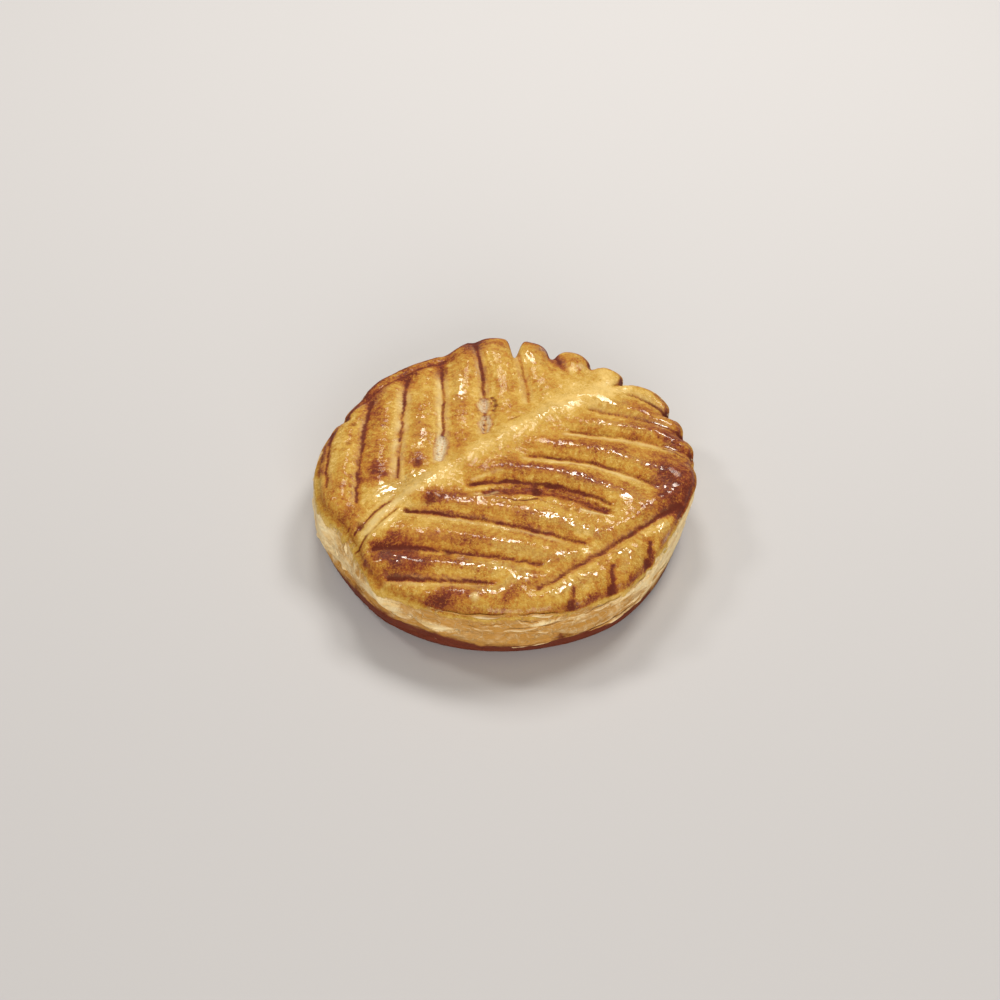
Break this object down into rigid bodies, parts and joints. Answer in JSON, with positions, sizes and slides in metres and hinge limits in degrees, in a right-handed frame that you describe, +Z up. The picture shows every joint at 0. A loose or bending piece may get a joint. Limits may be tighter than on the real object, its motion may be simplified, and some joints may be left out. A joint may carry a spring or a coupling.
{
  "type": "galette des rois",
  "caption": "A small round puff-pastry cake with a flat foot, layered sides and a glazed top scored with a leaf, baked whole to be shared at Epiphany.",
  "frame": {"origin": "under the middle of the cake, on the surface it stands on", "axes": "+Z up, +X to the right and +Y away from whoever faces the side where the leaf's stalk is on the left"},
  "size_m": [0.1322, 0.1326, 0.029],
  "materials": {
    "crust": "baked egg-washed crust, satin on top and matte down the side"
  },
  "bodies": {
    "root": {"galette": "crust"}
  },
  "joints": []
}
